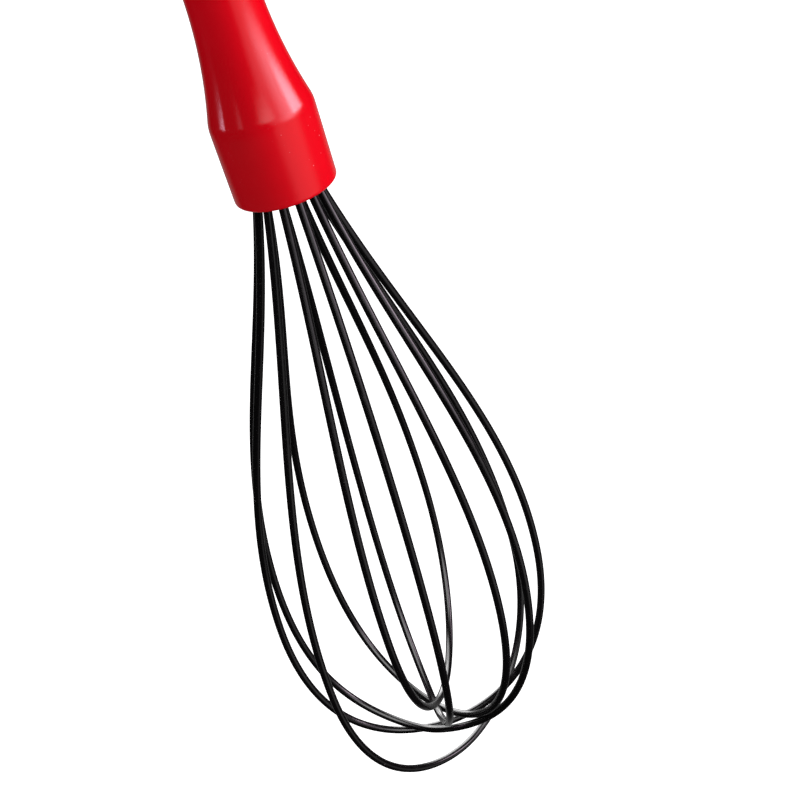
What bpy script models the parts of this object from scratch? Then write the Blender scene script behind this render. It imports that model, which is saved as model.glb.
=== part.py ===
# Balloon whisk: red moulded handle, twelve holes in a holder in its mouth, six coated wire loops.
# Metres, +Z along the handle towards its rear end, the origin in the middle of the hanging hole.
# Azimuths are counted from +X towards -Y.
import bpy
import bmesh
import math
from mathutils import Vector

# ---- driving dimensions (m, degrees) ----
HANDLE_LENGTH = 0.117        # rim to rear end
RIM_RADIUS = 0.0125
RIM_ROUND = 0.0009
COLLAR_HEIGHT = 0.0196       # rim to shoulder
SHOULDER_STEP = 0.00015      # the shoulder stands out this much past the rim
SHOULDER_ROUND = 0.0012      # length of the rounding on each side of the shoulder
FLARE_HEIGHT = 0.0300        # shoulder to neck
NECK_RADIUS = 0.0084
PALM_INSET = 0.034           # rear end to the thickest part of the grip
PALM_RADIUS = 0.0103
TAIL_LENGTH = 0.0150         # rear end to where the end begins to round off
TAIL_RADIUS = 0.0094
TAB_THICKNESS = 0.0096       # between the two flats at the rear end
TAB_LENGTH = 0.0190
HANG_HOLE_RADIUS = 0.0034
HANG_HOLE_ROUND = 0.0008
HANG_HOLE_INSET = 0.0088     # rear end to the middle of the hole

MOUTH_WALL = 0.0025          # of the collar round its bore
MOUTH_RECESS = 0.0040        # rim to the face of the holder
HOLDER_THICKNESS = 0.0080
SEAL_THICKNESS = 0.0110
FIT_GAP = 0.0003             # between pieces that touch

WIRE_COUNT = 12
HOLE_INSET = 0.0027          # edge of the holder to the middle of a wire hole
HOLE_CLEARANCE = 0.00020     # round a wire in its hole
CORE_DIAMETER = 0.0011
CORE_CLEARANCE = 0.00015
COATING_WALL = 0.00035
COATING_SHORT = 0.0010       # the coating stops this far inside the back of the holder
CORE_EMBED = 0.0075          # bare steel in the seal

BALLOON_RADIUS = 0.0371      # belly of the widest loop
BALLOON_LENGTH = 0.1820      # rim to the bottom of the longest loop
RISE_HANDLE = 0.372          # how long the loop runs straight, as a share of the belly depth
BELLY_HANDLE = 0.364         # how long it runs upright at the belly
LOWER_HANDLE = 0.820
LEAN_POWER = 2.0
RING_TURN = 15.9             # azimuth of the hole ring

# one row per loop, innermost first. hole: the hole of its first side, the other is opposite.
# narrower, shorter: its belly and its bottom against BALLOON_RADIUS and BALLOON_LENGTH.
# drop: belly to bottom. splay: angle at the mouth, turn: sideways turn of the belly, both for
# the first side and the other (degrees). along, across: where its bottom shifts to.
# tip: half width of its round bottom, as a share of the belly radius.
LOOPS = [
    {"hole": 3, "narrower": 0.0017, "shorter": 0.0262, "drop": 0.0434, "splay": (12.4, 12.2), "turn": (3.7, 2.3),
     "along": 0.0006, "across": 0.0000, "tip": 0.30},
    {"hole": 8, "narrower": 0.0067, "shorter": 0.0172, "drop": 0.0577, "splay": (12.0, 14.0), "turn": (6.0, 9.2),
     "along": -0.0033, "across": -0.0072, "tip": 0.18},
    {"hole": 7, "narrower": 0.0019, "shorter": 0.0157, "drop": 0.0536, "splay": (11.0, 10.9), "turn": (6.7, 9.6),
     "along": 0.0023, "across": -0.0049, "tip": 0.35},
    {"hole": 6, "narrower": 0.0007, "shorter": 0.0116, "drop": 0.0580, "splay": (15.5, 10.9), "turn": (8.3, 25.8),
     "along": 0.0085, "across": -0.0072, "tip": 0.28},
    {"hole": 5, "narrower": 0.0009, "shorter": 0.0083, "drop": 0.0513, "splay": (12.9, 12.0), "turn": (16.7, 13.5),
     "along": 0.0052, "across": 0.0007, "tip": 0.40},
    {"hole": 4, "narrower": 0.0000, "shorter": 0.0000, "drop": 0.0514, "splay": (12.9, 13.5), "turn": (10.0, 8.8),
     "along": 0.0019, "across": -0.0016, "tip": 0.31},
]

# ---- derived places ----
SHOULDER_RADIUS = RIM_RADIUS + SHOULDER_STEP
SOCKET_RADIUS = RIM_RADIUS - MOUTH_WALL
PLUG_RADIUS = SOCKET_RADIUS - FIT_GAP
HOLE_RING_RADIUS = PLUG_RADIUS - HOLE_INSET
RIM_Z = HANG_HOLE_INSET - HANDLE_LENGTH
HOLDER_Z = RIM_Z + MOUTH_RECESS
HOLDER_TOP = HOLDER_Z + HOLDER_THICKNESS
SEAL_Z = HOLDER_TOP + FIT_GAP
SEAL_TOP = SEAL_Z + SEAL_THICKNESS
SOCKET_TOP = SEAL_TOP + FIT_GAP
CORE_RADIUS = CORE_DIAMETER / 2
COATING_RADIUS = CORE_RADIUS + CORE_CLEARANCE + COATING_WALL
COATING_END = HOLDER_TOP - COATING_SHORT
CORE_END = SEAL_Z + CORE_EMBED

TURN_STEPS = 40
HOLE_SIDES = 16


def clear_scene():
    for ob in list(bpy.data.objects):
        bpy.data.objects.remove(ob, do_unlink=True)


def new_collection(name):
    group = bpy.data.collections.new(name)
    bpy.context.scene.collection.children.link(group)
    return group


def make_material(name, color, roughness, metallic=0.0):
    mat = bpy.data.materials.new(name)
    mat.use_nodes = True
    bsdf = mat.node_tree.nodes["Principled BSDF"]
    bsdf.inputs["Base Color"].default_value = (color[0], color[1], color[2], 1.0)
    bsdf.inputs["Roughness"].default_value = roughness
    bsdf.inputs["Metallic"].default_value = metallic
    mat.diffuse_color = (color[0], color[1], color[2], 1.0)
    return mat


def arc(cx, cz, radius, start, end, count):
    # points of an arc, angles in degrees from +X towards +Z
    points = []
    for i in range(count + 1):
        angle = math.radians(start + (end - start) * i / count)
        points.append((cx + radius * math.cos(angle), cz + radius * math.sin(angle)))
    return points


def ease(t):
    return t * t * (3 - 2 * t)


def turned(name, outline, group, material):
    # outline: (radius, z) from the axis down the outer side and back to the axis
    mesh = bpy.data.meshes.new(name)
    verts = [(r, 0.0, z) for r, z in outline]
    edges = [(i, i + 1) for i in range(len(verts) - 1)]
    mesh.from_pydata(verts, edges, [])
    ob = bpy.data.objects.new(name, mesh)
    group.objects.link(ob)
    mesh.materials.append(material)
    screw = ob.modifiers.new("turn", "SCREW")
    screw.axis = "Z"
    screw.angle = math.radians(360)
    screw.steps = TURN_STEPS
    screw.render_steps = TURN_STEPS
    screw.use_merge_vertices = True
    screw.merge_threshold = 0.00001
    screw.use_smooth_shade = True
    return ob


def as_cutter(ob):
    ob.hide_render = True
    ob.display_type = "WIRE"
    return ob


def box_cutter(name, low, high):
    bm = bmesh.new()
    bmesh.ops.create_cube(bm, size=1.0)
    for v in bm.verts:
        v.co = Vector([low[i] + (v.co[i] + 0.5) * (high[i] - low[i]) for i in range(3)])
    mesh = bpy.data.meshes.new(name)
    bm.to_mesh(mesh)
    bm.free()
    ob = bpy.data.objects.new(name, mesh)
    cutters.objects.link(ob)
    return as_cutter(ob)


def pin_cutters(name, radius, z_low, z_high):
    # one upright cylinder for each hole of the ring
    bm = bmesh.new()
    for k in range(WIRE_COUNT):
        x, y = ring_point(k)
        made = bmesh.ops.create_cone(bm, cap_ends=True, segments=HOLE_SIDES, radius1=radius,
                                     radius2=radius, depth=z_high - z_low)
        bmesh.ops.translate(bm, verts=made["verts"], vec=(x, y, (z_low + z_high) / 2))
    mesh = bpy.data.meshes.new(name)
    bm.to_mesh(mesh)
    bm.free()
    ob = bpy.data.objects.new(name, mesh)
    cutters.objects.link(ob)
    return as_cutter(ob)


def cut(ob, cutter):
    mod = ob.modifiers.new("cut " + cutter.name, "BOOLEAN")
    mod.operation = "DIFFERENCE"
    mod.solver = "EXACT"
    mod.object = cutter


def ring_point(k):
    angle = math.radians(RING_TURN + k * 360.0 / WIRE_COUNT)
    return HOLE_RING_RADIUS * math.cos(angle), -HOLE_RING_RADIUS * math.sin(angle)


# ---- handle ----
def flare_point(shoulder, neck, t):
    return NECK_RADIUS + (SHOULDER_RADIUS - NECK_RADIUS) * t * t, neck - FLARE_HEIGHT * t


def handle_outline():
    top = RIM_Z + HANDLE_LENGTH
    shoulder = RIM_Z + COLLAR_HEIGHT
    neck = shoulder + FLARE_HEIGHT
    palm = top - PALM_INSET
    tail = top - TAIL_LENGTH
    points = [(0.0, top)]
    for i in range(1, 8):
        angle = math.radians(90 - 90 * i / 7)
        points.append((TAIL_RADIUS * math.cos(angle), tail + TAIL_LENGTH * math.sin(angle)))
    for i in range(1, 6):
        t = i / 5
        points.append((TAIL_RADIUS + (PALM_RADIUS - TAIL_RADIUS) * ease(t), tail + (palm - tail) * t))
    for i in range(1, 8):
        t = i / 7
        points.append((PALM_RADIUS + (NECK_RADIUS - PALM_RADIUS) * ease(t), palm + (neck - palm) * t))
    for i in range(1, 9):
        points.append(flare_point(shoulder, neck, i / 8 * (1 - SHOULDER_ROUND / FLARE_HEIGHT)))
    below = shoulder - SHOULDER_ROUND
    wall = (RIM_RADIUS + SHOULDER_STEP * (1 - SHOULDER_ROUND / COLLAR_HEIGHT), below)
    above = points[-1]
    for t in (0.33, 0.67, 1.0):
        a, b, c = (1 - t) ** 2, 2 * t * (1 - t), t * t
        points.append((a * above[0] + b * SHOULDER_RADIUS + c * wall[0], a * above[1] + b * shoulder + c * wall[1]))
    points += arc(RIM_RADIUS - RIM_ROUND, RIM_Z + RIM_ROUND, RIM_ROUND, 0, -90, 4)
    inner = (RIM_RADIUS - SOCKET_RADIUS - RIM_ROUND) * 0.6
    points += arc(SOCKET_RADIUS + inner, RIM_Z + inner, inner, -90, -180, 3)
    points.append((SOCKET_RADIUS, SOCKET_TOP))
    points.append((0.0, SOCKET_TOP))
    return points


def hole_cutter():
    # turned on Z, then laid along Y: a bore with rounded edges at both flats
    half = TAB_THICKNESS / 2
    out = HANG_HOLE_RADIUS + HANG_HOLE_ROUND
    points = [(0.0, half + 0.004), (out, half + 0.004)]
    points += arc(out, half - HANG_HOLE_ROUND, HANG_HOLE_ROUND, 90, 180, 3)
    points += arc(out, -half + HANG_HOLE_ROUND, HANG_HOLE_ROUND, 180, 270, 3)
    points += [(out, -half - 0.004), (0.0, -half - 0.004)]
    ob = turned("cut_hang_hole", points, cutters, handle_red)
    ob.modifiers["turn"].steps = 24
    ob.modifiers["turn"].render_steps = 24
    ob.rotation_euler = (math.radians(90), 0, 0)
    return as_cutter(ob)


def make_handle():
    ob = turned("handle", handle_outline(), whisk, handle_red)
    top = RIM_Z + HANDLE_LENGTH
    reach = PALM_RADIUS + 0.004
    for name, side in (("cut_flat_front", -1), ("cut_flat_back", 1)):
        near = side * TAB_THICKNESS / 2
        far = side * reach
        low = (-reach, min(near, far), top - TAB_LENGTH)
        high = (reach, max(near, far), top + 0.004)
        cut(ob, box_cutter(name, low, high))
    cut(ob, hole_cutter())
    return ob


# ---- holder and seal in the mouth ----
def make_plug(name, z_low, z_high, hole_radius, hole_top, material):
    edge = 0.0004
    outline = [(0.0, z_high), (PLUG_RADIUS - edge, z_high), (PLUG_RADIUS, z_high - edge),
               (PLUG_RADIUS, z_low + edge), (PLUG_RADIUS - edge, z_low), (0.0, z_low)]
    ob = turned(name, outline, whisk, material)
    for poly in ob.data.polygons:
        poly.use_smooth = False
    cut(ob, pin_cutters("cut_" + name, hole_radius, z_low - 0.002, hole_top))
    return ob


# ---- wire loops ----
def bezier(a, b, c, d, t):
    s = 1 - t
    return tuple(s * s * s * a[i] + 3 * s * s * t * b[i] + 3 * s * t * t * c[i] + t * t * t * d[i]
                 for i in range(2))


def half_profile(loop, side):
    # (radius, depth below the rim, share of the sideways turn) from the mouth to the bottom
    splay = math.radians(loop["splay"][side])
    belly = BALLOON_RADIUS - loop["narrower"]
    length = BALLOON_LENGTH - loop["shorter"]
    depth = length - loop["drop"]
    ring = HOLE_RING_RADIUS
    leave = ring + MOUTH_RECESS / 2 * math.tan(splay)
    rows = []
    for i in range(3):
        t = i / 3
        r = (1 - t) ** 2 * ring + 2 * t * (1 - t) * ring + t * t * leave
        d = -(1 - t) ** 2 * MOUTH_RECESS - t * (1 - t) * MOUTH_RECESS
        rows.append((r, d))
    rise = RISE_HANDLE * depth
    start = (leave, 0.0)
    first = (leave + rise * math.sin(splay), rise * math.cos(splay))
    second = (belly, depth * (1 - BELLY_HANDLE))
    for i in range(10):
        rows.append(bezier(start, first, second, (belly, depth), i / 10))
    own = math.radians(loop["turn"][side])
    both = math.radians(sum(loop["turn"]) / 2)
    upper = [(r, d, own * belly * (r - ring) / (belly - ring)) for r, d in rows]
    lower = []
    for i in range(10):
        r, d = bezier((belly, depth), (belly, depth + LOWER_HANDLE * loop["drop"]), (loop["tip"] * belly, length),
                      (0.0, length), i / 10)
        lower.append((r, d, (both + (own - both) * ease(r / belly)) * r))
    return upper + lower


def loop_points(loop, end_z):
    azimuth = math.radians(RING_TURN + loop["hole"] * 360.0 / WIRE_COUNT)
    cos_a = math.cos(azimuth)
    sin_a = math.sin(azimuth)
    length = BALLOON_LENGTH - loop["shorter"]
    rows = [(1, *row) for row in half_profile(loop, 0)]
    rows.append((1, 0.0, length, 0.0))
    rows += [(-1, *row) for row in reversed(half_profile(loop, 1))]
    points = []
    for side, r, d, aside in rows:
        lean = (max(d, 0.0) / length) ** LEAN_POWER
        u = side * r + loop["along"] * lean
        v = side * aside + loop["across"] * lean
        points.append(Vector((u * cos_a - v * sin_a, -(u * sin_a + v * cos_a), RIM_Z - d)))
    first = Vector((points[0].x, points[0].y, end_z))
    last = Vector((points[-1].x, points[-1].y, end_z))
    return [first] + points + [last]


def wire_curve(name, points, radius, resolution, caps):
    data = bpy.data.curves.new(name, "CURVE")
    data.dimensions = "3D"
    data.twist_mode = "MINIMUM"
    data.bevel_depth = radius
    data.bevel_resolution = resolution
    data.use_fill_caps = caps
    spline = data.splines.new("POLY")
    spline.points.add(len(points) - 1)
    for point, co in zip(spline.points, points):
        point.co = (co.x, co.y, co.z, 1.0)
    spline.use_smooth = True
    ob = bpy.data.objects.new(name, data)
    whisk.objects.link(ob)
    return ob


def make_core(name, loop):
    ob = wire_curve(name, loop_points(loop, CORE_END), CORE_RADIUS, 1, True)
    ob.data.materials.append(wire_steel)
    return ob


def make_coating(name, loop):
    # an open tube along the loop, thickened inwards and left open at both ends
    curve = wire_curve(name + "_path", loop_points(loop, COATING_END), COATING_RADIUS, 2, False)
    bpy.context.view_layer.update()
    graph = bpy.context.evaluated_depsgraph_get()
    mesh = bpy.data.meshes.new_from_object(curve.evaluated_get(graph))
    mesh.name = name
    ob = bpy.data.objects.new(name, mesh)
    ob.matrix_world = curve.matrix_world
    whisk.objects.link(ob)
    path = curve.data
    bpy.data.objects.remove(curve, do_unlink=True)
    bpy.data.curves.remove(path)
    mesh.materials.clear()
    mesh.materials.append(coating_black)
    for poly in mesh.polygons:
        poly.use_smooth = True
    wall = ob.modifiers.new("wall", "SOLIDIFY")
    wall.thickness = COATING_WALL
    wall.offset = -1.0
    wall.use_rim = True
    wall.use_even_offset = True
    return ob


# ---- build ----
clear_scene()
whisk = new_collection("Balloon whisk")
cutters = new_collection("Cutters")
cutters.hide_render = True

handle_red = make_material("handle_plastic", (0.72, 0.012, 0.035), 0.16)
holder_grey = make_material("holder_plastic", (0.05, 0.05, 0.055), 0.5)
seal_resin = make_material("seal_resin", (0.55, 0.50, 0.40), 0.35)
coating_black = make_material("wire_coating", (0.012, 0.012, 0.014), 0.22)
wire_steel = make_material("wire_core", (0.62, 0.62, 0.63), 0.25, 1.0)

make_handle()
make_plug("wire_holder", HOLDER_Z, HOLDER_TOP, COATING_RADIUS + HOLE_CLEARANCE, HOLDER_TOP + 0.002, holder_grey)
make_plug("seal", SEAL_Z, SEAL_TOP, CORE_RADIUS + HOLE_CLEARANCE, CORE_END + FIT_GAP, seal_resin)
for number, loop in enumerate(LOOPS, start=1):
    make_coating("loop_%d_coating" % number, loop)
    make_core("loop_%d_core" % number, loop)
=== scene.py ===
import math

import bmesh
import bpy
from mathutils import Euler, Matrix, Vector


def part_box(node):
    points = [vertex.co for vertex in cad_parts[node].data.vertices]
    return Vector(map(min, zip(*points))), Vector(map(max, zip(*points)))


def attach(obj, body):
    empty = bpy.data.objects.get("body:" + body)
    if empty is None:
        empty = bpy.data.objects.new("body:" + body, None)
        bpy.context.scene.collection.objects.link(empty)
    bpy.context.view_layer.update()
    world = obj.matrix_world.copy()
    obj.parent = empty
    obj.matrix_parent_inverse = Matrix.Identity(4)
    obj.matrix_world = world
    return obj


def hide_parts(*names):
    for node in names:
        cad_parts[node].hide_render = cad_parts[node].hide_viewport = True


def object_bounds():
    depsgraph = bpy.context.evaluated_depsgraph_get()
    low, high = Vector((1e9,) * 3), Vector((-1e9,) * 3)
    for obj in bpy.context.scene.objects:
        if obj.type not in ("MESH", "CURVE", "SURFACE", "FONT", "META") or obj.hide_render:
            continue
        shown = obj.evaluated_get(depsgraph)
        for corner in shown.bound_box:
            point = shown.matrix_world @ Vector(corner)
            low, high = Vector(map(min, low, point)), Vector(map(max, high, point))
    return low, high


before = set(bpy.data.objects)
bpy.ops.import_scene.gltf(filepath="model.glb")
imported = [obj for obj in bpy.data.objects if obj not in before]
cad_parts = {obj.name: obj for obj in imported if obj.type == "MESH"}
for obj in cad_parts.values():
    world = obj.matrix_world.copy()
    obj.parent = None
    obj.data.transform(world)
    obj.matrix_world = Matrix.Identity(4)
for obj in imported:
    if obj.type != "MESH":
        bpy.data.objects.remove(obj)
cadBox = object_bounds()

# the mouth of the handle, from the frame
handleLow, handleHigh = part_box("handle")
rimHeight = handleLow.z
holderLow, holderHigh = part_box("wire_holder")
whiskRoot = "root"

pieces = bpy.data.collections.new("Balloon whisk looks")
bpy.context.scene.collection.children.link(pieces)
print("frame loaded, handle", round(handleHigh.z - handleLow.z, 4), "m long")


# small helpers for the node materials
def newFinish(name):
    finish = bpy.data.materials.new(name)
    finish.use_nodes = True
    tree = finish.node_tree
    shader = tree.nodes["Principled BSDF"]
    finish.diffuse_color = (0.5, 0.5, 0.5, 1.0)
    return finish, tree, shader


def addNode(tree, kind, place, **settings):
    node = tree.nodes.new(kind)
    node.location = place
    for key, value in settings.items():
        setattr(node, key, value)
    return node


def link(tree, source, target):
    tree.links.new(source, target)


def addNoise(tree, vector, scale, detail, place, roughness=0.5):
    node = addNode(tree, "ShaderNodeTexNoise", place)
    node.inputs["Scale"].default_value = scale
    node.inputs["Detail"].default_value = detail
    node.inputs["Roughness"].default_value = roughness
    link(tree, vector, node.inputs["Vector"])
    return node


def addRange(tree, value, low, high, toLow, toHigh, place, smooth=False):
    node = addNode(tree, "ShaderNodeMapRange", place)
    if smooth:
        node.interpolation_type = "SMOOTHSTEP"
    node.inputs["From Min"].default_value = low
    node.inputs["From Max"].default_value = high
    node.inputs["To Min"].default_value = toLow
    node.inputs["To Max"].default_value = toHigh
    link(tree, value, node.inputs["Value"])
    return node


def addMath(tree, operation, first, second, place):
    node = addNode(tree, "ShaderNodeMath", place, operation=operation)
    for index, value in enumerate((first, second)):
        if value is None:
            continue
        if isinstance(value, (int, float)):
            node.inputs[index].default_value = value
        else:
            link(tree, value, node.inputs[index])
    return node


def addMix(tree, factor, first, second, place, blend="MIX"):
    node = addNode(tree, "ShaderNodeMix", place, data_type="RGBA", blend_type=blend)
    for socket, value in ((node.inputs[0], factor), (node.inputs[6], first), (node.inputs[7], second)):
        if isinstance(value, (int, float)):
            socket.default_value = value
        elif isinstance(value, tuple):
            socket.default_value = (*value, 1.0)
        else:
            link(tree, value, socket)
    return node


def addStretch(tree, vector, scale, place):
    node = addNode(tree, "ShaderNodeMapping", place)
    node.inputs["Scale"].default_value = scale
    link(tree, vector, node.inputs["Vector"])
    return node


def addBump(tree, height, strength, distance, place, below=None):
    node = addNode(tree, "ShaderNodeBump", place)
    node.inputs["Strength"].default_value = strength
    node.inputs["Distance"].default_value = distance
    link(tree, height, node.inputs["Height"])
    if below is not None:
        link(tree, below, node.inputs["Normal"])
    return node


# red moulded plastic: glossy grip, a duller and dustier collar, fine hairlines and dust, with pale pink
# specks laid thicker on the lit right side as painted sheen
redPlastic = {
    "color": (0.84, 0.0010, 0.0100),
    "deepColor": (0.74, 0.0006, 0.0070),
    "driftScale": 38.0,
    "glossyRoughness": 0.12,
    "collarRoughness": 0.17,
    "collarEdge": (0.0170, 0.0198),    # above the rim, where the collar turns glossy
    "smearScale": 220.0,
    "smear": (-0.01, 0.03),            # wiped patches, added to the roughness
    "dustAndSheenColor": (0.90, 0.36, 0.40),
    "dustScale": 620.0,
    # pale pink dust, the colour of the highlight; laid thick on the lit right it is painted sheen
    "dustPatchScale": 160.0,
    "dustMost": 0.7,
    "dustEdge": (0.0215, 0.026),       # above the rim, where the dust thins out
    "sheenSide": (-0.001, 0.007),       # across the handle, from little dust to most, thicker on the lit right side as painted sheen
    "peelScale": 950.0,
    "peelDepth": 0.00003,
    "hairlineScale": 3200.0,
    "hairlineDepth": 0.000008,
}


def makeDustAndSheen(tree, where, parts):
    # how much dust and painted sheen lies at each place: fine specks in patches, more on the collar's lit
    # right side, where they paint a sheen
    s = redPlastic
    dust = addNode(tree, "ShaderNodeTexVoronoi", (-1300, 600), feature="F1")
    dust.inputs["Scale"].default_value = s["dustScale"]
    link(tree, where, dust.inputs["Vector"])
    spot = addRange(tree, dust.outputs["Distance"], 0.02, 0.12, 1.0, 0.0, (-1100, 600))
    patch = addNoise(tree, where, s["dustPatchScale"], 2.0, (-1300, 850))
    patches = addRange(tree, patch.outputs["Fac"], 0.50, 0.62, 0.0, s["dustMost"], (-1100, 850))
    low, high = (rimHeight + edge for edge in s["dustEdge"])
    lower = addRange(tree, parts.outputs["Z"], low, high, 1.0, 0.25, (-1100, 1050))
    # thicker towards the lit right side: painted sheen
    side = addRange(tree, parts.outputs["X"], *s["sheenSide"], 0.12, 1.0, (-1100, 1250))
    place = addMath(tree, "MULTIPLY", lower.outputs["Result"], side.outputs["Result"], (-950, 1150))
    here = addMath(tree, "MULTIPLY", patches.outputs["Result"], place.outputs["Value"], (-950, 950))
    return addMath(tree, "MULTIPLY", spot.outputs["Result"], here.outputs["Value"], (-900, 700))


def makeRedPlastic():
    s = redPlastic
    finish, tree, shader = newFinish("redHandlePlastic")
    finish.diffuse_color = (*s["color"], 1.0)
    where = addNode(tree, "ShaderNodeTexCoord", (-1700, 0)).outputs["Object"]
    parts = addNode(tree, "ShaderNodeSeparateXYZ", (-1500, -300))
    link(tree, where, parts.inputs["Vector"])
    # slow drift of the pigment, and the dust on it, with its painted sheen on the collar's lit right side
    drift = addNoise(tree, where, s["driftScale"], 3.0, (-1300, 300))
    drifted = addRange(tree, drift.outputs["Fac"], 0.35, 0.7, 0.0, 1.0, (-1100, 300))
    base = addMix(tree, drifted.outputs["Result"], s["color"], s["deepColor"], (-900, 300))
    # the dust mask, which also lays painted sheen thicker on the collar's lit right side
    dust = makeDustAndSheen(tree, where, parts)
    dustAndSheenMixed = addMix(tree, dust.outputs["Value"], base.outputs[2], s["dustAndSheenColor"], (-700, 400))
    link(tree, dustAndSheenMixed.outputs[2], shader.inputs["Base Color"])
    # gloss
    low, high = (rimHeight + edge for edge in s["collarEdge"])
    collar = addRange(tree, parts.outputs["Z"], low, high, 1.0, 0.0, (-1300, -300), True)
    gloss = addRange(tree, collar.outputs["Result"], 0.0, 1.0, s["glossyRoughness"],
                     s["collarRoughness"], (-1100, -350))
    wiped = addStretch(tree, where, (1.0, 1.0, 0.35), (-1500, -600)).outputs["Vector"]
    smear = addNoise(tree, wiped, s["smearScale"], 5.0, (-1300, -600), 0.6)
    smeared = addRange(tree, smear.outputs["Fac"], 0.3, 0.75, *s["smear"], (-1100, -600))
    rough = addMath(tree, "ADD", gloss.outputs["Result"], smeared.outputs["Result"], (-900, -450))
    roughDust = addMath(tree, "ADD", rough.outputs["Value"], dust.outputs["Value"], (-700, -400))
    link(tree, roughDust.outputs["Value"], shader.inputs["Roughness"])
    # surface: slight orange peel, hairlines along the handle
    peel = addNoise(tree, where, s["peelScale"], 2.0, (-1300, -900))
    peelBump = addBump(tree, peel.outputs["Fac"], 0.35, s["peelDepth"], (-500, -700))
    along = addStretch(tree, where, (1.0, 1.0, 0.05), (-1500, -1150)).outputs["Vector"]
    hair = addNoise(tree, along, s["hairlineScale"], 2.0, (-1300, -1150))
    hairLine = addRange(tree, hair.outputs["Fac"], 0.60, 0.78, 0.0, 1.0, (-1100, -1150), True)
    hairBump = addBump(tree, hairLine.outputs["Result"], 0.12, s["hairlineDepth"], (-300, -700),
                       peelBump.outputs["Normal"])
    link(tree, hairBump.outputs["Normal"], shader.inputs["Normal"])
    shader.inputs["IOR"].default_value = 1.49
    return finish


# black coating on the wires: glossy, with a slight drawn texture along the wire and small rubs
blackCoat = {
    "color": (0.0045, 0.0040, 0.0043),
    "rubColor": (0.012, 0.0112, 0.0115),
    "rubScale": 320.0,
    "speckColor": (0.16, 0.15, 0.15),
    "speckScale": 300.0,
    "speckPatchScale": 70.0,
    "roughness": 0.17,
    "cloudScale": 90.0,
    "drawnStretch": (26.0, 1.2, 1.0),
    "drawnDepth": 0.000006,
    "waveScale": 240.0,
    "waveDepth": 0.00003,
}


def makeSpecks(tree, where):
    s = blackCoat
    speck = addNode(tree, "ShaderNodeTexVoronoi", (-1200, 600), feature="F1")
    speck.inputs["Scale"].default_value = s["speckScale"]
    link(tree, where, speck.inputs["Vector"])
    spot = addRange(tree, speck.outputs["Distance"], 0.03, 0.09, 0.8, 0.0, (-1000, 600))
    patch = addNoise(tree, where, s["speckPatchScale"], 1.0, (-1200, 850))
    patches = addRange(tree, patch.outputs["Fac"], 0.60, 0.68, 0.0, 1.0, (-1000, 850))
    return addMath(tree, "MULTIPLY", spot.outputs["Result"], patches.outputs["Result"], (-800, 600))


def makeBlackCoat():
    s = blackCoat
    finish, tree, shader = newFinish("blackWireCoating")
    finish.diffuse_color = (*s["color"], 1.0)
    coord = addNode(tree, "ShaderNodeTexCoord", (-1500, 0))
    along = coord.outputs["UV"]       # u runs round the wire, v along it
    where = coord.outputs["Object"]
    rub = addNoise(tree, where, s["rubScale"], 4.0, (-1200, 300), 0.65)
    rubbed = addRange(tree, rub.outputs["Fac"], 0.60, 0.78, 0.0, 0.7, (-1000, 300))
    color = addMix(tree, rubbed.outputs["Result"], s["color"], s["rubColor"], (-700, 300))
    specks = makeSpecks(tree, where)
    marked = addMix(tree, specks.outputs["Value"], color.outputs[2], s["speckColor"], (-500, 400))
    link(tree, marked.outputs[2], shader.inputs["Base Color"])
    # gloss, duller where it is rubbed
    cloud = addNoise(tree, where, s["cloudScale"], 3.0, (-1200, 0))
    clouded = addRange(tree, cloud.outputs["Fac"], 0.3, 0.7, s["roughness"] - 0.04,
                       s["roughness"] + 0.05, (-1000, 0))
    dulled = addRange(tree, rub.outputs["Fac"], 0.55, 0.8, 0.0, 0.12, (-1000, 150))
    rough = addMath(tree, "ADD", clouded.outputs["Result"], dulled.outputs["Result"], (-700, 50))
    link(tree, rough.outputs["Value"], shader.inputs["Roughness"])
    # surface: drawn lines along the wire over slow waves
    lines = addStretch(tree, along, s["drawnStretch"], (-1300, -300)).outputs["Vector"]
    drawn = addNoise(tree, lines, 6.0, 3.0, (-1100, -300))
    drawnBump = addBump(tree, drawn.outputs["Fac"], 0.3, s["drawnDepth"], (-500, -300))
    wave = addNoise(tree, where, s["waveScale"], 1.0, (-1100, -600))
    waveBump = addBump(tree, wave.outputs["Fac"], 0.25, s["waveDepth"], (-300, -300),
                       drawnBump.outputs["Normal"])
    link(tree, waveBump.outputs["Normal"], shader.inputs["Normal"])
    shader.inputs["IOR"].default_value = 1.5
    return finish


# what closes the mouth: a dark holder and pale poured resin behind it
holderPlastic = {
    "color": (0.035, 0.035, 0.038),
    "otherColor": (0.055, 0.053, 0.055),
    "roughness": 0.45,
    "scale": 180.0,
}
sealResin = {
    "color": (0.50, 0.44, 0.33),
    "otherColor": (0.60, 0.55, 0.44),
    "roughness": 0.3,
    "scale": 120.0,
}


def makePlainPlastic(name, color, otherColor, roughness, scale):
    finish, tree, shader = newFinish(name)
    finish.diffuse_color = (*color, 1.0)
    where = addNode(tree, "ShaderNodeTexCoord", (-1100, 0)).outputs["Object"]
    cloud = addNoise(tree, where, scale, 4.0, (-900, 100))
    mixed = addMix(tree, cloud.outputs["Fac"], color, otherColor, (-500, 200))
    link(tree, mixed.outputs[2], shader.inputs["Base Color"])
    duller, glossier = roughness + 0.08, roughness - 0.08
    rough = addRange(tree, cloud.outputs["Fac"], 0.3, 0.7, glossier, duller, (-500, 0))
    link(tree, rough.outputs["Result"], shader.inputs["Roughness"])
    grain = addNoise(tree, where, scale * 12, 2.0, (-900, -250))
    bump = addBump(tree, grain.outputs["Fac"], 0.3, 0.00006, (-500, -250))
    link(tree, bump.outputs["Normal"], shader.inputs["Normal"])
    return finish


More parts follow.
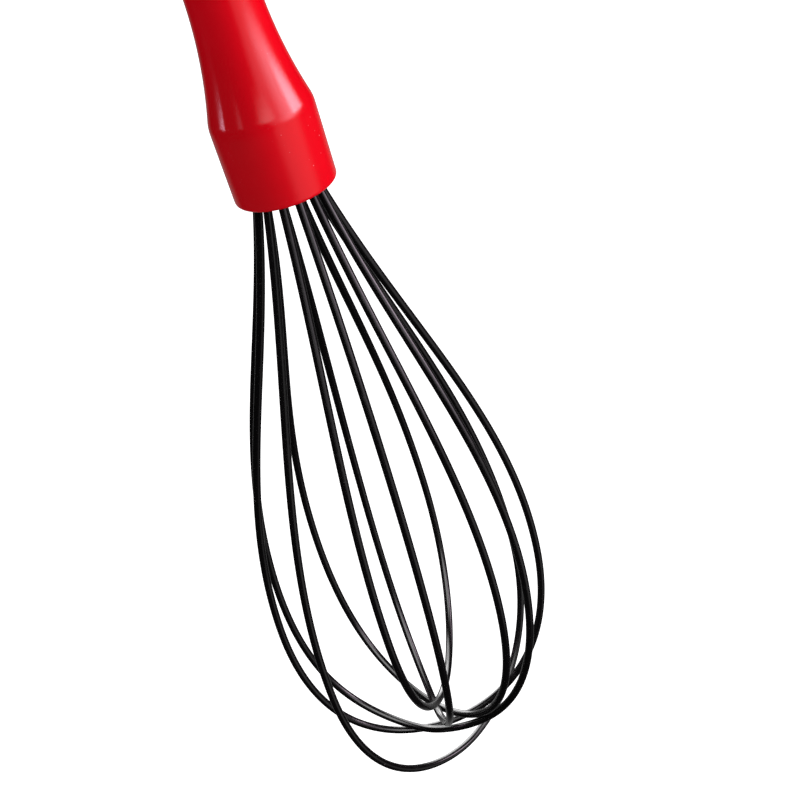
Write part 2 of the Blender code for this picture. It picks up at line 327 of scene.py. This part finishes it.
def makeDrawnSteel():
    finish, tree, shader = newFinish("drawnSteelWire")
    where = addNode(tree, "ShaderNodeTexCoord", (-1100, 0)).outputs["Object"]
    along = addStretch(tree, where, (1.0, 1.0, 0.08), (-900, 0)).outputs["Vector"]
    lines = addNoise(tree, along, 2600.0, 3.0, (-700, 0))
    color = addMix(tree, lines.outputs["Fac"], (0.56, 0.56, 0.57), (0.68, 0.68, 0.67), (-400, 200))
    link(tree, color.outputs[2], shader.inputs["Base Color"])
    rough = addRange(tree, lines.outputs["Fac"], 0.3, 0.7, 0.2, 0.36, (-400, 0))
    link(tree, rough.outputs["Result"], shader.inputs["Roughness"])
    bump = addBump(tree, lines.outputs["Fac"], 0.2, 0.00002, (-400, -200))
    link(tree, bump.outputs["Normal"], shader.inputs["Normal"])
    shader.inputs["Metallic"].default_value = 1.0
    return finish


redHandleFinish = makeRedPlastic()
coatFinish = makeBlackCoat()
holderFinish = makePlainPlastic("darkHolderPlastic", **holderPlastic)
resinFinish = makePlainPlastic("pouredResin", **sealResin)
steelFinish = makeDrawnSteel()
print("finishes made")


def addPiece(name, mesh, finish, node):
    piece = bpy.data.objects.new(name, mesh)
    pieces.objects.link(piece)
    mesh.materials.clear()
    mesh.materials.append(finish)
    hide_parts(node)
    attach(piece, whiskRoot)
    return piece


def spin(outline, steps):
    # turns an outline of (radius, height) round Z; points on the axis stay single
    bm = bmesh.new()
    rings = []
    for radius, height in outline:
        if radius < 1e-7:
            rings.append([bm.verts.new((0.0, 0.0, height))])
            continue
        ring = []
        for k in range(steps):
            angle = 2 * math.pi * k / steps
            ring.append(bm.verts.new((radius * math.cos(angle), radius * math.sin(angle), height)))
        rings.append(ring)
    for upper, lower in zip(rings, rings[1:]):
        for k in range(steps):
            n = (k + 1) % steps
            corners = [upper[k % len(upper)], lower[k % len(lower)]]
            corners += [lower[n % len(lower)], upper[n % len(upper)]]
            unique = []
            for corner in corners:
                if corner not in unique:
                    unique.append(corner)
            if len(unique) > 2:
                bm.faces.new(unique)
    bmesh.ops.recalc_face_normals(bm, faces=bm.faces)
    return bm


def meshFrom(bm, name):
    mesh = bpy.data.meshes.new(name)
    bm.to_mesh(mesh)
    bm.free()
    for face in mesh.polygons:
        face.use_smooth = True
    return mesh


def arcPoints(cx, cz, radius, start, end, count):
    points = []
    for i in range(count + 1):
        angle = math.radians(start + (end - start) * i / count)
        points.append((cx + radius * math.cos(angle), cz + radius * math.sin(angle)))
    return points


def ease(t):
    return t * t * (3 - 2 * t)


def cutWith(piece, bm, name, turn=(0, 0, 0)):
    cutter = bpy.data.objects.new(name, meshFrom(bm, name))
    bpy.context.scene.collection.objects.link(cutter)
    cutter.rotation_euler = turn
    mod = piece.modifiers.new(name, "BOOLEAN")
    mod.operation = "DIFFERENCE"
    mod.solver = "EXACT"
    mod.object = cutter
    return cutter


def bake(piece, cutters=()):
    # applies the modifiers so that no cutter stays in the scene
    bpy.context.view_layer.update()
    graph = bpy.context.evaluated_depsgraph_get()
    done = bpy.data.meshes.new_from_object(piece.evaluated_get(graph), depsgraph=graph)
    piece.modifiers.clear()
    old = piece.data
    piece.data = done
    bpy.data.meshes.remove(old)
    for cutter in cutters:
        bpy.data.objects.remove(cutter, do_unlink=True)


# the handle
handleShape = {
    "length": handleHigh.z - handleLow.z,
    "rimRadius": 0.0125,
    "rimRound": 0.0010,
    "collarHeight": 0.0196,
    "shoulderRadius": 0.01265,
    "shoulderRound": 0.0014,
    "flareHeight": 0.0300,
    "neckRadius": 0.0084,
    "palmInset": 0.034,
    "palmRadius": 0.0103,
    "tailLength": 0.0150,
    "tailRadius": 0.0094,
    "tabThickness": 0.0096,
    "tabLength": 0.0190,
    "holeRadius": 0.0034,
    "holeRound": 0.0011,
    "mouthRadius": 0.0100,
    "mouthRound": 0.0007,
    "boreRing": 0.006,         # a ring of points up the bore
    "fitGap": 0.0003,          # room above the seal
    "edgeBevel": 0.0009,       # softened edges of the flats
    "cutReach": 0.02,          # how far the cutters of the flats reach outwards
    "steps": 160,
    "holeSteps": 64,
}


def softCorner(start, corner, end, count):
    # a bend from start to end that leans towards the corner
    points = []
    for i in range(1, count + 1):
        a, b, c = (1 - i / count) ** 2, 2 * i / count * (1 - i / count), (i / count) ** 2
        points.append(tuple(a * start[k] + b * corner[k] + c * end[k] for k in range(2)))
    return points


def handleOutline():
    s = handleShape
    top = rimHeight + s["length"]
    shoulder = rimHeight + s["collarHeight"]
    neck = shoulder + s["flareHeight"]
    palm = top - s["palmInset"]
    tail = top - s["tailLength"]
    points = [(0.0, top)]
    endSteps, swellSteps, waistSteps, flareSteps = 24, 14, 24, 40
    for i in range(1, endSteps + 1):
        angle = math.radians(90 - 90 * i / endSteps)
        points.append((s["tailRadius"] * math.cos(angle), tail + s["tailLength"] * math.sin(angle)))
    for i in range(1, swellSteps + 1):
        t = i / swellSteps
        radius = s["tailRadius"] + (s["palmRadius"] - s["tailRadius"]) * ease(t)
        points.append((radius, tail + (palm - tail) * t))
    for i in range(1, waistSteps + 1):
        t = i / waistSteps
        radius = s["palmRadius"] + (s["neckRadius"] - s["palmRadius"]) * ease(t)
        points.append((radius, palm + (neck - palm) * t))
    for i in range(1, flareSteps + 1):
        t = i / flareSteps * (1 - s["shoulderRound"] / s["flareHeight"])
        radius = s["neckRadius"] + (s["shoulderRadius"] - s["neckRadius"]) * t * t
        points.append((radius, neck - s["flareHeight"] * t))
    share = 1 - s["shoulderRound"] / s["collarHeight"]
    belowRadius = s["rimRadius"] + (s["shoulderRadius"] - s["rimRadius"]) * share
    below = (belowRadius, shoulder - s["shoulderRound"])
    points += softCorner(points[-1], (s["shoulderRadius"], shoulder), below, 12)
    outer = s["rimRound"]
    points += arcPoints(s["rimRadius"] - outer, rimHeight + outer, outer, 0, -90, 8)
    inner = s["mouthRound"]
    points += arcPoints(s["mouthRadius"] + inner, rimHeight + inner, inner, -90, -180, 6)
    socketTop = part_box("seal")[1].z + s["fitGap"]
    points += [(s["mouthRadius"], rimHeight + s["boreRing"])]
    points += [(s["mouthRadius"], socketTop), (0.0, socketTop)]
    return points


def boxMesh(low, high):
    bm = bmesh.new()
    bmesh.ops.create_cube(bm, size=1.0)
    for v in bm.verts:
        v.co = Vector([low[i] + (v.co[i] + 0.5) * (high[i] - low[i]) for i in range(3)])
    return bm


def makeHandle():
    s = handleShape
    body = meshFrom(spin(handleOutline(), s["steps"]), "whiskHandle")
    piece = addPiece("whiskHandle", body, redHandleFinish, "handle")
    top = rimHeight + s["length"]
    half = s["tabThickness"] / 2
    cutters = []
    for side in (-1, 1):
        near, far = sorted((side * half, side * s["cutReach"]))
        low = (-s["cutReach"], near, top - s["tabLength"])
        high = (s["cutReach"], far, top + s["cutReach"] / 2)
        cutters.append(cutWith(piece, boxMesh(low, high), "flat%d" % side))
    bevel = piece.modifiers.new("flatEdges", "BEVEL")
    bevel.width = s["edgeBevel"]
    bevel.segments = 4
    bevel.limit_method = "ANGLE"
    bevel.angle_limit = math.radians(34)
    out = s["holeRadius"] + s["holeRound"]
    past = half + s["cutReach"] / 5
    outline = [(0.0, past), (out, past)]
    outline += arcPoints(out, half - s["holeRound"], s["holeRound"], 90, 180, 8)
    outline += arcPoints(out, -half + s["holeRound"], s["holeRound"], 180, 270, 8)
    outline += [(out, -past), (0.0, -past)]
    hole = spin(outline, s["holeSteps"])
    cutters.append(cutWith(piece, hole, "hangHole", turn=(math.radians(90), 0, 0)))
    bake(piece, cutters)


makeHandle()
print("handle made")

# the wire loops
wireShape = {
    "wires": 12,
    "ringRadius": 0.0070,      # the ring of holes in the holder
    "ringTurn": 15.9,
    "radius": 0.00105,
    "wall": 0.00035,           # of the coating
    "sides": 20,
    "mouthRecess": 0.0040,     # the holder sits this far up the mouth
    "balloonRadius": 0.0371,
    "balloonLength": 0.1820,
    "riseHandle": 0.372,       # how long each bend runs: leaving the mouth,
    "bellyHandle": 0.364,      # coming to the widest place,
    "lowerHandle": 0.820,      # and turning in below it
    "jointMarks": {1: 0.0793, 2: 0.1127},   # faint rings in the coating, how far along the loop
    "markHeight": 0.00005,
    "markHalf": 0.0002,
    "coatingShort": 0.001,     # the coating ends this far short of the holder's rear face
    "mouthSteps": 8,
    "upperSteps": 70,
    "lowerSteps": 64,
}
# the innermost loop first; splay and turn are in degrees, one for each leg;
# along and across say how far the bottom leans, tip how blunt it is
loopShapes = [
    {"hole": 3, "narrower": 0.0017, "shorter": 0.0262, "drop": 0.0434,
     "splay": (12.4, 12.2), "turn": (3.7, 2.3),
     "along": 0.0006, "across": 0.0000, "tip": 0.30},
    {"hole": 8, "narrower": 0.0067, "shorter": 0.0172, "drop": 0.0577,
     "splay": (12.0, 14.0), "turn": (6.0, 9.2),
     "along": -0.0033, "across": -0.0072, "tip": 0.18},
    {"hole": 7, "narrower": 0.0019, "shorter": 0.0157, "drop": 0.0536,
     "splay": (11.0, 10.9), "turn": (6.7, 9.6),
     "along": 0.0023, "across": -0.0049, "tip": 0.35},
    {"hole": 6, "narrower": 0.0007, "shorter": 0.0116, "drop": 0.0580,
     "splay": (15.5, 10.9), "turn": (8.3, 25.8),
     "along": 0.0085, "across": -0.0072, "tip": 0.28},
    {"hole": 5, "narrower": 0.0009, "shorter": 0.0083, "drop": 0.0513,
     "splay": (12.9, 12.0), "turn": (16.7, 13.5),
     "along": 0.0052, "across": 0.0007, "tip": 0.40},
    {"hole": 4, "narrower": 0.0000, "shorter": 0.0000, "drop": 0.0514,
     "splay": (12.9, 13.5), "turn": (10.0, 8.8),
     "along": 0.0019, "across": -0.0016, "tip": 0.31},
]


def bezierPoint(a, b, c, d, t):
    s = 1 - t
    return tuple(s * s * s * a[i] + 3 * s * s * t * b[i] + 3 * s * t * t * c[i] + t * t * t * d[i]
                 for i in range(2))


def halfProfile(loop, side):
    # (radius, depth below the rim, sideways shift) from the mouth to the bottom
    w = wireShape
    splay = math.radians(loop["splay"][side])
    belly = w["balloonRadius"] - loop["narrower"]
    length = w["balloonLength"] - loop["shorter"]
    depth = length - loop["drop"]
    ring = w["ringRadius"]
    leave = ring + w["mouthRecess"] / 2 * math.tan(splay)
    rows = []
    for i in range(w["mouthSteps"]):
        t = i / w["mouthSteps"]
        r = (1 - t) ** 2 * ring + 2 * t * (1 - t) * ring + t * t * leave
        rows.append((r, -(1 - t) ** 2 * w["mouthRecess"] - t * (1 - t) * w["mouthRecess"]))
    rise = w["riseHandle"] * depth
    first = (leave + rise * math.sin(splay), rise * math.cos(splay))
    second = (belly, depth * (1 - w["bellyHandle"]))
    for i in range(w["upperSteps"]):
        rows.append(bezierPoint((leave, 0.0), first, second, (belly, depth), i / w["upperSteps"]))
    own = math.radians(loop["turn"][side])
    both = math.radians(sum(loop["turn"]) / 2)
    upper = [(r, d, own * belly * (r - ring) / (belly - ring)) for r, d in rows]
    lower = []
    for i in range(w["lowerSteps"]):
        r, d = bezierPoint((belly, depth), (belly, depth + w["lowerHandle"] * loop["drop"]),
                           (loop["tip"] * belly, length), (0.0, length), i / w["lowerSteps"])
        lower.append((r, d, (both + (own - both) * ease(r / belly)) * r))
    return upper + lower


def loopPoints(loop, endHeight):
    w = wireShape
    azimuth = math.radians(w["ringTurn"] + loop["hole"] * 360.0 / w["wires"])
    cosA, sinA = math.cos(azimuth), math.sin(azimuth)
    length = w["balloonLength"] - loop["shorter"]
    rows = [(1, *row) for row in halfProfile(loop, 0)] + [(1, 0.0, length, 0.0)]
    rows += [(-1, *row) for row in reversed(halfProfile(loop, 1))]
    points = []
    for side, r, d, aside in rows:
        lean = (max(d, 0.0) / length) ** 2
        u = side * r + loop["along"] * lean
        v = side * aside + loop["across"] * lean
        points.append(Vector((u * cosA - v * sinA, -(u * sinA + v * cosA), rimHeight - d)))
    first = Vector((points[0].x, points[0].y, endHeight))
    last = Vector((points[-1].x, points[-1].y, endHeight))
    return [first] + points + [last]


def addMark(points, distance):
    # three close points along the wire, the middle one stands proud
    half = wireShape["markHalf"]
    room = half * 1.5
    travel = 0.0
    for i in range(1, len(points)):
        step = (points[i] - points[i - 1]).length
        if travel + step > distance + room:
            way = (points[i] - points[i - 1]).normalized()
            middle = points[i - 1] + way * max(distance - travel, room)
            return points[:i] + [middle - way * half, middle, middle + way * half] + points[i:], i + 1
        travel += step
    return points, None


def tubeMesh(name, points, radius, sides, proud=None):
    # an open tube with a map: u round the wire, v along it in centimetres
    bm = bmesh.new()
    uv = bm.loops.layers.uv.new("wireMap")
    tangents = []
    for i, point in enumerate(points):
        before = points[max(i - 1, 0)]
        after = points[min(i + 1, len(points) - 1)]
        tangents.append((after - before).normalized())
    side = tangents[0].orthogonal().normalized()
    rings, travel, lengths = [], 0.0, []
    for i, point in enumerate(points):
        if i:
            side = tangents[i - 1].rotation_difference(tangents[i]) @ side
            travel += (point - points[i - 1]).length
        side = (side - tangents[i] * side.dot(tangents[i])).normalized()
        other = tangents[i].cross(side)
        ring = []
        for k in range(sides):
            angle = 2 * math.pi * k / sides
            reach = radius + (wireShape["markHeight"] if i == proud else 0.0)
            out = side * math.cos(angle) + other * math.sin(angle)
            ring.append(bm.verts.new(point + out * reach))
        rings.append(ring)
        lengths.append(travel * 100)
    for i in range(len(rings) - 1):
        for k in range(sides):
            n = (k + 1) % sides
            face = bm.faces.new((rings[i][k], rings[i][n], rings[i + 1][n], rings[i + 1][k]))
            values = ((k, i), (k + 1, i), (k + 1, i + 1), (k, i + 1))
            for corner, (around, row) in zip(face.loops, values):
                corner[uv].uv = (around / sides, lengths[row])
    bmesh.ops.recalc_face_normals(bm, faces=bm.faces)
    return meshFrom(bm, name)


def makeLoop(number, loop):
    endHeight = holderHigh.z - wireShape["coatingShort"]
    points, proud = loopPoints(loop, endHeight), None
    if number in wireShape["jointMarks"]:
        points, proud = addMark(points, wireShape["jointMarks"][number])
    name = "wireLoop%d" % number
    mesh = tubeMesh(name, points, wireShape["radius"], wireShape["sides"], proud)
    piece = addPiece(name, mesh, coatFinish, "loop_%d_coating" % number)
    wall = piece.modifiers.new("wall", "SOLIDIFY")
    wall.thickness = wireShape["wall"]
    wall.offset = -1.0
    wall.use_rim = True


for number, loop in enumerate(loopShapes, start=1):
    makeLoop(number, loop)
print("six wire loops made")


# the holder in the mouth
holderShape = {
    "radius": 0.0097,
    "holeRadius": 0.00125,
    "holeEdge": 0.00012,
    "edge": 0.0005,
    "lip": 0.0012,             # raised lip round the lower face
    "lipSlope": 0.0003,
    "lipHeight": 0.00035,
    "cutDepth": 0.012,
    "steps": 96,
    "holeSteps": 32,
}


def makeHolder():
    s = holderShape
    low, high = holderLow.z, holderHigh.z
    radius, edge = s["radius"], s["edge"]
    outline = [(0.0, high), (radius - edge, high), (radius, high - edge)]
    outline += arcPoints(radius - edge, low + edge, edge, 0, -90, 5)
    face = low + s["lipHeight"]
    outline += [(radius - s["lip"], low), (radius - s["lip"] - s["lipSlope"], face), (0.0, face)]
    body = meshFrom(spin(outline, s["steps"]), "mouthHolder")
    piece = addPiece("mouthHolder", body, holderFinish, "wire_holder")
    bm = bmesh.new()
    for k in range(wireShape["wires"]):
        angle = math.radians(wireShape["ringTurn"] + k * 360.0 / wireShape["wires"])
        made = bmesh.ops.create_cone(bm, cap_ends=True, segments=s["holeSteps"],
                                     radius1=s["holeRadius"], radius2=s["holeRadius"], depth=s["cutDepth"])
        ring = wireShape["ringRadius"]
        spot = (ring * math.cos(angle), -ring * math.sin(angle), (low + high) / 2)
        bmesh.ops.translate(bm, verts=made["verts"], vec=spot)
    cutter = cutWith(piece, bm, "wireHoles")
    bevel = piece.modifiers.new("holeEdges", "BEVEL")
    bevel.width = s["holeEdge"]
    bevel.segments = 2
    bevel.limit_method = "ANGLE"
    bevel.angle_limit = math.radians(60)
    bake(piece, [cutter])
    for polygon in piece.data.polygons:
        polygon.use_smooth = False


makeHolder()

# the seal and the steel cores keep their solids
for name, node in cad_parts.items():
    if name == "seal":
        finish = resinFinish
    elif name.endswith("_core"):
        finish = steelFinish
    else:
        continue
    node.data.materials.clear()
    node.data.materials.append(finish)
print("holder, seal and cores finished")

# pale floor below the hanging whisk
floorPlace = {"below": 1.2, "size": 16.0, "glow": 1.15}


def makeFloor():
    size = floorPlace["size"] / 2
    height = cadBox[0][2] - floorPlace["below"]
    mesh = bpy.data.meshes.new("paleFloor")
    corners = [(x * size, y * size, height) for x, y in ((-1, -1), (1, -1), (1, 1), (-1, 1))]
    mesh.from_pydata(corners, [], [(0, 1, 2, 3)])
    floor = bpy.data.objects.new("paleFloor", mesh)
    bpy.context.scene.collection.objects.link(floor)
    finish, tree, shader = newFinish("paleFloorPaint")
    where = addNode(tree, "ShaderNodeTexCoord", (-900, 0)).outputs["Object"]
    cloud = addNoise(tree, where, 1.5, 2.0, (-700, 0))
    color = addMix(tree, cloud.outputs["Fac"], (0.90, 0.90, 0.90), (0.93, 0.93, 0.93), (-400, 0))
    link(tree, color.outputs[2], shader.inputs["Base Color"])
    link(tree, color.outputs[2], shader.inputs["Emission Color"])
    shader.inputs["Emission Strength"].default_value = floorPlace["glow"]
    shader.inputs["Roughness"].default_value = 0.9
    shader.inputs["Specular IOR Level"].default_value = 0.0
    mesh.materials.append(finish)
    floor.visible_glossy = False
    floor.visible_diffuse = False


makeFloor()

# soft studio light
studio = {
    "backdrop": 1.0,           # what the camera sees round the whisk
    "fill": 0.41,              # even light from all round
    "darkRoom": 0.004,         # what the gloss reflects between the reflectors
    "reflectors": [
        # way, starts at, full at, strength: seen only in the gloss
        ((0.0, 0.80, -0.60), 0.66, 0.95, 0.24),      # backdrop
        ((0.0, 0.78, 0.62), 0.66, 0.86, 8.0),        # above and behind, for the bottoms of the loops
        ((0.66, -0.67, -0.33), 0.80, 0.98, 0.60),    # low and right, soft in the collar
        ((0.10, -0.72, 0.68), 0.78, 0.95, 5.6),      # high in front, in the back wires
    ],
    # soft is the share of each side that fades out towards the edges
    "softboxes": [
        {"name": "keyCore", "place": (0.68, -0.14, -0.01), "aim": -0.088, "size": (0.56, 0.22),
         "power": 3.4, "color": (1.0, 0.80, 0.95), "soft": (0.7, 0.7)},
        {"name": "keyBroad", "place": (0.62, -0.34, 0.00), "aim": -0.08, "size": (0.95, 0.44),
         "power": 4.6, "color": (1.0, 0.86, 1.0), "soft": (0.9, 0.6)},
        {"name": "frontRight", "place": (0.30, -0.64, 0.02), "aim": -0.08, "size": (0.60, 0.44),
         "power": 0.7, "color": (1.0, 0.90, 1.0), "soft": (0.9, 0.8)},
        {"name": "leftStrip", "place": (-0.60, 0.08, -0.058), "aim": -0.088, "size": (0.19, 0.05),
         "power": 0.21, "color": (1.0, 0.72, 0.95), "soft": (0.4, 0.6)},
        {"name": "leftFaint", "place": (-0.50, -0.40, 0.02), "aim": -0.088, "size": (0.16, 0.07),
         "power": 0.030, "color": (1.0, 0.85, 1.0), "soft": (0.7, 0.5)},
        {"name": "backOverhead", "place": (0.0, 0.62, 0.36), "aim": -0.25, "size": (0.46, 0.34),
         "power": 3.5, "color": (1.0, 0.97, 0.96), "soft": (0.4, 0.4)},
    ],
    # lights the colour only, with no reflection
    "sideWash": {"name": "sideWash", "place": (0.66, -0.20, 0.10), "aim": -0.08, "size": (0.8, 0.8),
                 "power": 1.7, "color": (1.0, 1.0, 1.0)},
}


def makeWorld():
    # white to the camera, an even fill, and a dark room with a few soft reflectors in the gloss
    world = bpy.data.worlds.new("softStudio")
    bpy.context.scene.world = world
    world.cycles.sampling_method = "NONE"
    world.use_nodes = True
    tree = world.node_tree
    back = tree.nodes["Background"]
    ray = addNode(tree, "ShaderNodeLightPath", (-900, 300))
    way = addNode(tree, "ShaderNodeTexCoord", (-1300, -100)).outputs["Generated"]
    room = addNode(tree, "ShaderNodeValue", (-900, 100))
    room.outputs["Value"].default_value = studio["darkRoom"]
    for number, (direction, starts, full, strength) in enumerate(studio["reflectors"]):
        row = -100 - 250 * number
        facing = addNode(tree, "ShaderNodeVectorMath", (-1100, row), operation="DOT_PRODUCT")
        link(tree, way, facing.inputs[0])
        facing.inputs[1].default_value = direction
        card = addRange(tree, facing.outputs["Value"], starts, full, 0.0, strength, (-900, row), True)
        room = addMath(tree, "ADD", room.outputs["Value"], card.outputs["Result"], (-700, row))
    gloss = addMath(tree, "MULTIPLY", ray.outputs["Is Glossy Ray"], room.outputs["Value"], (-600, 0))
    camera = addMath(tree, "MULTIPLY", ray.outputs["Is Camera Ray"], studio["backdrop"], (-600, 200))
    other = addMath(tree, "MAXIMUM", ray.outputs["Is Camera Ray"], ray.outputs["Is Glossy Ray"],
                    (-700, 400))
    rest = addMath(tree, "SUBTRACT", 1.0, other.outputs["Value"], (-600, 400))
    fill = addMath(tree, "MULTIPLY", rest.outputs["Value"], studio["fill"], (-400, 400))
    first = addMath(tree, "ADD", gloss.outputs["Value"], camera.outputs["Value"], (-300, 100))
    total = addMath(tree, "ADD", first.outputs["Value"], fill.outputs["Value"], (-150, 200))
    link(tree, total.outputs["Value"], back.inputs["Strength"])
    back.inputs["Color"].default_value = (1.0, 1.0, 1.0, 1.0)


def softenEdges(lamp, soft):
    # the light fades out towards the edges of its cloth
    lamp.use_nodes = True
    tree = lamp.node_tree
    spot = addNode(tree, "ShaderNodeNewGeometry", (-1300, 0)).outputs["Parametric"]
    middle = addNode(tree, "ShaderNodeVectorMath", (-1100, 0), operation="SUBTRACT")
    link(tree, spot, middle.inputs[0])
    middle.inputs[1].default_value = (0.5, 0.5, 0.0)
    away = addNode(tree, "ShaderNodeVectorMath", (-900, 0), operation="ABSOLUTE")
    link(tree, middle.outputs["Vector"], away.inputs[0])
    parts = addNode(tree, "ShaderNodeSeparateXYZ", (-700, 0))
    link(tree, away.outputs["Vector"], parts.inputs["Vector"])
    across = addRange(tree, parts.outputs["X"], 0.5 - soft[0] / 2, 0.5, 1.0, 0.0, (-500, 100), True)
    upright = addRange(tree, parts.outputs["Y"], 0.5 - soft[1] / 2, 0.5, 1.0, 0.0, (-500, -100), True)
    glow = addMath(tree, "MULTIPLY", across.outputs["Result"], upright.outputs["Result"], (-300, 0))
    link(tree, glow.outputs["Value"], tree.nodes["Emission"].inputs["Strength"])


def hangLamp(values):
    # a softbox at its place, turned to a height on the whisk's axis
    lamp = bpy.data.lights.new(values["name"], "AREA")
    lamp.shape = "RECTANGLE"
    lamp.size, lamp.size_y = values["size"]
    lamp.energy = values["power"]
    lamp.color = values["color"]
    box = bpy.data.objects.new(values["name"], lamp)
    box.location = values["place"]
    way = Vector((0.0, 0.0, values["aim"])) - Vector(values["place"])
    box.rotation_euler = way.to_track_quat("-Z", "Y").to_euler()
    bpy.context.scene.collection.objects.link(box)
    return box


def makeSoftboxes():
    for values in studio["softboxes"]:
        box = hangLamp(values)
        softenEdges(box.data, values["soft"])
    wash = hangLamp(studio["sideWash"])
    wash.visible_glossy = False


makeWorld()
makeSoftboxes()

# camera: looks down past the end of the handle into the loops
cameraPlace = {"back": 0.3191, "above": 0.1230, "turn": (58.394, 15.031, -10.957), "lens": 64.68}


def makeCamera():
    lens = bpy.data.cameras.new("whiskCamera")
    lens.lens = cameraPlace["lens"]
    lens.sensor_width = 36.0
    lens.clip_start = 0.01
    lens.clip_end = 50.0
    camera = bpy.data.objects.new("whiskCamera", lens)
    camera.location = (0.0, -cameraPlace["back"], rimHeight + cameraPlace["above"])
    camera.rotation_euler = Euler([math.radians(a) for a in cameraPlace["turn"]], "XYZ")
    bpy.context.scene.collection.objects.link(camera)
    bpy.context.scene.camera = camera


makeCamera()
bpy.context.scene.view_settings.view_transform = "Standard"
bpy.context.scene.view_settings.look = "None"
print("floor, light and camera placed")
